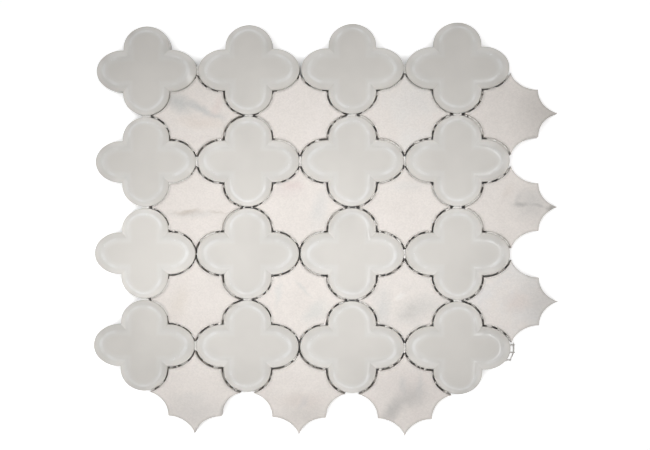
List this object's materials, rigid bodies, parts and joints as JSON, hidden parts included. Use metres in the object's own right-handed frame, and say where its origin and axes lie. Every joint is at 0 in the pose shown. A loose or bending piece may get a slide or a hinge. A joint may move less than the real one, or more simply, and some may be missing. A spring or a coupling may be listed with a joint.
{
  "type": "patterned mosaic tile sheet",
  "caption": "Mesh-mounted mosaic sheet of bevelled grey glass quatrefoils with pale marble eight-pointed stars between them, edges left open to interlock.",
  "frame": {"origin": "under the middle of the whole sheet's box, on the back of the mesh", "axes": "+X along the rows (the sheet's longer side, stars overhang at +X), +Y up the columns (stars overhang at -Y), +Z out of the finished face"},
  "size_m": [0.31, 0.2746, 0.0085],
  "materials": {
    "glass_pale_grey": "polished and bevelled, back coated an opaque pale warm grey",
    "marble_white": "honed, soft grey and beige veins",
    "fibreglass_mesh": "open woven scrim with dried clear adhesive"
  },
  "bodies": {
    "root": {"glass_quatrefoil_r1_c1": "glass_pale_grey", "glass_quatrefoil_r1_c2": "glass_pale_grey", "glass_quatrefoil_r1_c3": "glass_pale_grey", "glass_quatrefoil_r1_c4": "glass_pale_grey", "glass_quatrefoil_r2_c1": "glass_pale_grey", "glass_quatrefoil_r2_c2": "glass_pale_grey", "glass_quatrefoil_r2_c3": "glass_pale_grey", "glass_quatrefoil_r2_c4": "glass_pale_grey", "glass_quatrefoil_r3_c1": "glass_pale_grey", "glass_quatrefoil_r3_c2": "glass_pale_grey", "glass_quatrefoil_r3_c3": "glass_pale_grey", "glass_quatrefoil_r3_c4": "glass_pale_grey", "glass_quatrefoil_r4_c1": "glass_pale_grey", "glass_quatrefoil_r4_c2": "glass_pale_grey", "glass_quatrefoil_r4_c3": "glass_pale_grey", "glass_quatrefoil_r4_c4": "glass_pale_grey", "marble_star_r1_c1": "marble_white", "marble_star_r1_c2": "marble_white", "marble_star_r1_c3": "marble_white", "marble_star_r1_c4": "marble_white", "marble_star_r2_c1": "marble_white", "marble_star_r2_c2": "marble_white", "marble_star_r2_c3": "marble_white", "marble_star_r2_c4": "marble_white", "marble_star_r3_c1": "marble_white", "marble_star_r3_c2": "marble_white", "marble_star_r3_c3": "marble_white", "marble_star_r3_c4": "marble_white", "marble_star_r4_c1": "marble_white", "marble_star_r4_c2": "marble_white", "marble_star_r4_c3": "marble_white", "mesh_backing": "fibreglass_mesh"}
  },
  "joints": []
}
